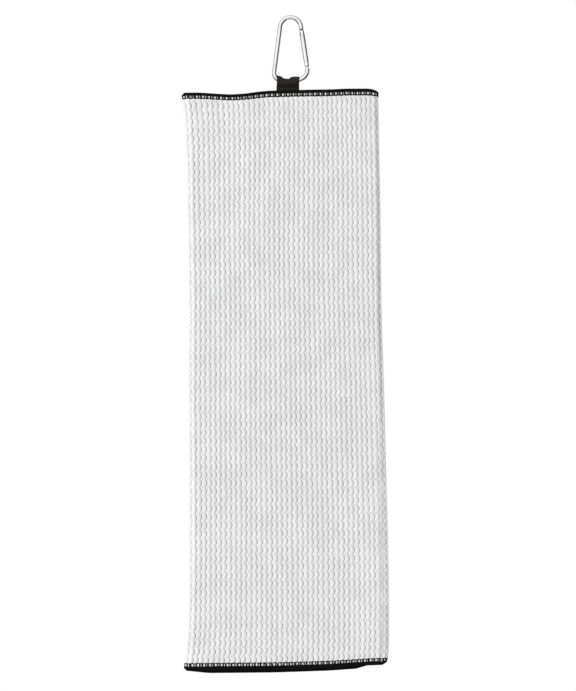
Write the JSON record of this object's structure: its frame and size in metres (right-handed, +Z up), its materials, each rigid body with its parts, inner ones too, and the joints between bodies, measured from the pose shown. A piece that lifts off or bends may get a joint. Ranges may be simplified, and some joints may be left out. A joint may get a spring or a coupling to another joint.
{
  "type": "golf towel",
  "caption": "Square waffle-weave towel folded in three lengthwise, hung by a sewn ribbon loop from a small spring-gate carabiner.",
  "frame": {"origin": "the carabiner's inner top surface, where the ring or strap that it hangs on touches it", "axes": "+Z up along the hanging towel, +Y from the front panel to the folded flaps behind it, +X to the right seen from the front, towards the carabiner's gate"},
  "size_m": [0.1555, 0.0096, 0.5181],
  "materials": {
    "carabiner_body": "polished",
    "carabiner_gate": "polished",
    "gate_hinge_pin": "satin",
    "gate_latch_pin": "satin",
    "gate_spring": "satin",
    "spring_plunger": "satin",
    "hang_loop": "woven",
    "loop_tail": "woven",
    "loop_stitching": "thread",
    "front_panel": "waffle weave",
    "inner_flap": "waffle weave",
    "outer_flap": "waffle weave",
    "front_top_edging": "overlock thread",
    "front_bottom_edging": "overlock thread",
    "inner_top_edging": "overlock thread",
    "inner_bottom_edging": "overlock thread",
    "inner_side_edging": "overlock thread",
    "outer_top_edging": "overlock thread",
    "outer_bottom_edging": "overlock thread",
    "outer_side_edging": "overlock thread"
  },
  "bodies": {
    "carabiner": {"carabiner_body": "carabiner_body"},
    "gate": {"carabiner_gate": "carabiner_gate", "gate_hinge_pin": "gate_hinge_pin", "gate_latch_pin": "gate_latch_pin", "gate_spring": "gate_spring"},
    "plunger": {"spring_plunger": "spring_plunger"},
    "loop": {"hang_loop": "hang_loop"},
    "towel": {"loop_tail": "loop_tail", "loop_stitching": "loop_stitching", "front_panel": "front_panel", "inner_flap": "inner_flap", "front_top_edging": "front_top_edging", "front_bottom_edging": "front_bottom_edging", "inner_top_edging": "inner_top_edging", "inner_bottom_edging": "inner_bottom_edging", "inner_side_edging": "inner_side_edging"},
    "flap": {"outer_flap": "outer_flap", "outer_top_edging": "outer_top_edging", "outer_bottom_edging": "outer_bottom_edging", "outer_side_edging": "outer_side_edging"}
  },
  "joints": [
    {"name": "gate_hinge", "type": "hinge", "parent": "carabiner", "child": "gate", "pos_m": [0.01287, 0, -0.036], "axis": [0, -1, 0], "range_deg": [0, 28], "stiffness_Nm_per_rad": 0.05, "springref_deg": -28.65},
    {"name": "plunger_slide", "type": "slide", "parent": "gate", "child": "plunger", "axis": [-0.1506, 0, 0.9886], "range_m": [0, 0.0003], "deforming": ["gate_spring"]},
    {"name": "loop_swing", "type": "hinge", "parent": "carabiner", "child": "loop", "pos_m": [-0.0017, 0, -0.0487], "axis": [1, 0, 0], "range_deg": [-20, 20]},
    {"name": "ribbon_neck", "type": "hinge", "parent": "loop", "child": "towel", "pos_m": [-0.00215, 0, -0.0553], "axis": [1, 0, 0], "range_deg": [-70, 70]},
    {"name": "flap_fold", "type": "hinge", "parent": "towel", "child": "flap", "pos_m": [-0.08193, 0.00155, -0.2861], "axis": [0, 0, 1], "range_deg": [0, 180]}
  ],
  "couplings": [
    {"joint": "plunger_slide", "follows": "gate_hinge", "m_per_rad": 0.0005}
  ]
}
